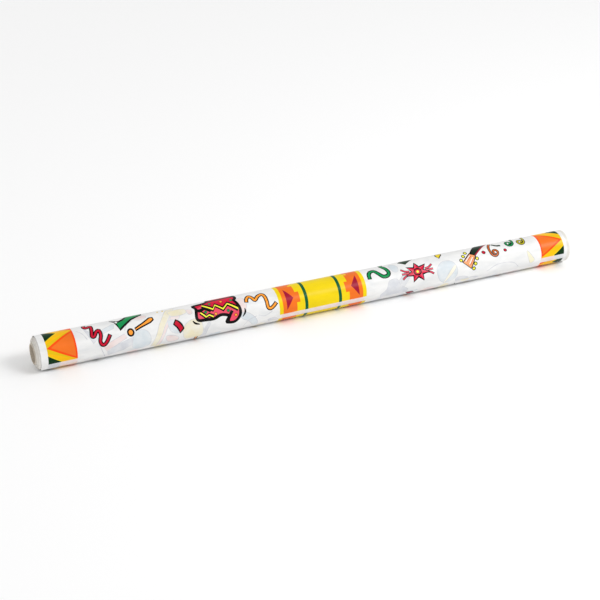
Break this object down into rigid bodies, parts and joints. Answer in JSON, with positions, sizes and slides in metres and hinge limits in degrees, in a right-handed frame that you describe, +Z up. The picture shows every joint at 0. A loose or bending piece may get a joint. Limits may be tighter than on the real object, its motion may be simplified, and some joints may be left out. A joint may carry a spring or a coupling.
{
  "type": "printed plastic film roll",
  "caption": "Roll of thin translucent film with a party print, for wrapping gifts and covering tables, wound on a paperboard core that has crept out of one end, with a loose cut end in front.",
  "frame": {"origin": "on the surface that the roll lies on, under the middle of its length", "axes": "+X along the roll, towards the end where the core is drawn in; +Z up; the loose end of the film lies on the -Y side"},
  "size_m": [1.0256, 0.059, 0.0588],
  "materials": {
    "printed_film": "thin white polyethylene film, satin gloss, printed in saturated party colours, the turns beneath showing through as pale ghosts",
    "wound_film": "the edges of many turns of thin film, fine rings, satin",
    "core_board": "brown spirally wound paperboard, matt, spiral seams",
    "clear_tape": "clear adhesive tape"
  },
  "bodies": {
    "roll_body": {"winding_6": "wound_film", "outer_turn": "printed_film"},
    "layer_5": {"winding_5": "wound_film"},
    "layer_4": {"winding_4": "wound_film"},
    "layer_3": {"winding_3": "wound_film"},
    "layer_2": {"winding_2": "wound_film"},
    "core": {"core_tube": "core_board", "starter_tape": "clear_tape", "winding_1": "wound_film"},
    "free_end_1": {"free_end_1": "printed_film"},
    "free_end_2": {"free_end_2": "printed_film"},
    "free_end_3": {"free_end_3": "printed_film"},
    "free_end_4": {"free_end_4": "printed_film"},
    "free_end_5": {"free_end_5": "printed_film"},
    "free_end_6": {"free_end_6": "printed_film"},
    "free_end_7": {"free_end_7": "printed_film"},
    "free_end_8": {"free_end_8": "printed_film"}
  },
  "joints": [
    {"name": "layer_5_slide", "type": "slide", "parent": "roll_body", "child": "layer_5", "axis": [-1, 0, 0], "range_m": [-0.0014, 0.008]},
    {"name": "layer_4_slide", "type": "slide", "parent": "layer_5", "child": "layer_4", "axis": [-1, 0, 0], "range_m": [-0.0014, 0.008]},
    {"name": "layer_3_slide", "type": "slide", "parent": "layer_4", "child": "layer_3", "axis": [-1, 0, 0], "range_m": [-0.0014, 0.008]},
    {"name": "layer_2_slide", "type": "slide", "parent": "layer_3", "child": "layer_2", "axis": [-1, 0, 0], "range_m": [-0.0014, 0.008]},
    {"name": "core_slide", "type": "slide", "parent": "layer_2", "child": "core", "axis": [-1, 0, 0], "range_m": [-0.0014, 0.008]},
    {"name": "free_end_1_bend", "type": "hinge", "parent": "roll_body", "child": "free_end_1", "pos_m": [0.00225, 0, 0.05881], "axis": [-1, 0, 0], "range_deg": [0, 15]},
    {"name": "free_end_2_bend", "type": "hinge", "parent": "free_end_1", "child": "free_end_2", "pos_m": [0.00225, -0.00764, 0.05781], "axis": [-1, 0, 0], "range_deg": [0, 15]},
    {"name": "free_end_3_bend", "type": "hinge", "parent": "free_end_2", "child": "free_end_3", "pos_m": [0.00225, -0.01475, 0.05486], "axis": [-1, 0, 0], "range_deg": [0, 15]},
    {"name": "free_end_4_bend", "type": "hinge", "parent": "free_end_3", "child": "free_end_4", "pos_m": [0.00225, -0.02086, 0.05017], "axis": [-1, 0, 0], "range_deg": [0, 15]},
    {"name": "free_end_5_bend", "type": "hinge", "parent": "free_end_4", "child": "free_end_5", "pos_m": [0.00225, -0.02555, 0.04406], "axis": [-1, 0, 0], "range_deg": [0, 15]},
    {"name": "free_end_6_bend", "type": "hinge", "parent": "free_end_5", "child": "free_end_6", "pos_m": [0.00225, -0.02849, 0.03695], "axis": [-1, 0, 0], "range_deg": [0, 15]},
    {"name": "free_end_7_bend", "type": "hinge", "parent": "free_end_6", "child": "free_end_7", "pos_m": [0.00225, -0.0295, 0.02931], "axis": [-1, 0, 0], "range_deg": [0, 15]},
    {"name": "free_end_8_bend", "type": "hinge", "parent": "free_end_7", "child": "free_end_8", "pos_m": [0.00225, -0.02849, 0.02167], "axis": [-1, 0, 0], "range_deg": [0, 15]}
  ],
  "couplings": [
    {"joint": "layer_4_slide", "follows": "layer_5_slide", "ratio": 1},
    {"joint": "layer_3_slide", "follows": "layer_5_slide", "ratio": 1},
    {"joint": "layer_2_slide", "follows": "layer_5_slide", "ratio": 1},
    {"joint": "core_slide", "follows": "layer_5_slide", "ratio": 1},
    {"joint": "free_end_2_bend", "follows": "free_end_1_bend", "ratio": 1},
    {"joint": "free_end_3_bend", "follows": "free_end_1_bend", "ratio": 1},
    {"joint": "free_end_4_bend", "follows": "free_end_1_bend", "ratio": 1},
    {"joint": "free_end_5_bend", "follows": "free_end_1_bend", "ratio": 1},
    {"joint": "free_end_6_bend", "follows": "free_end_1_bend", "ratio": 1},
    {"joint": "free_end_7_bend", "follows": "free_end_1_bend", "ratio": 1},
    {"joint": "free_end_8_bend", "follows": "free_end_1_bend", "ratio": 1}
  ]
}
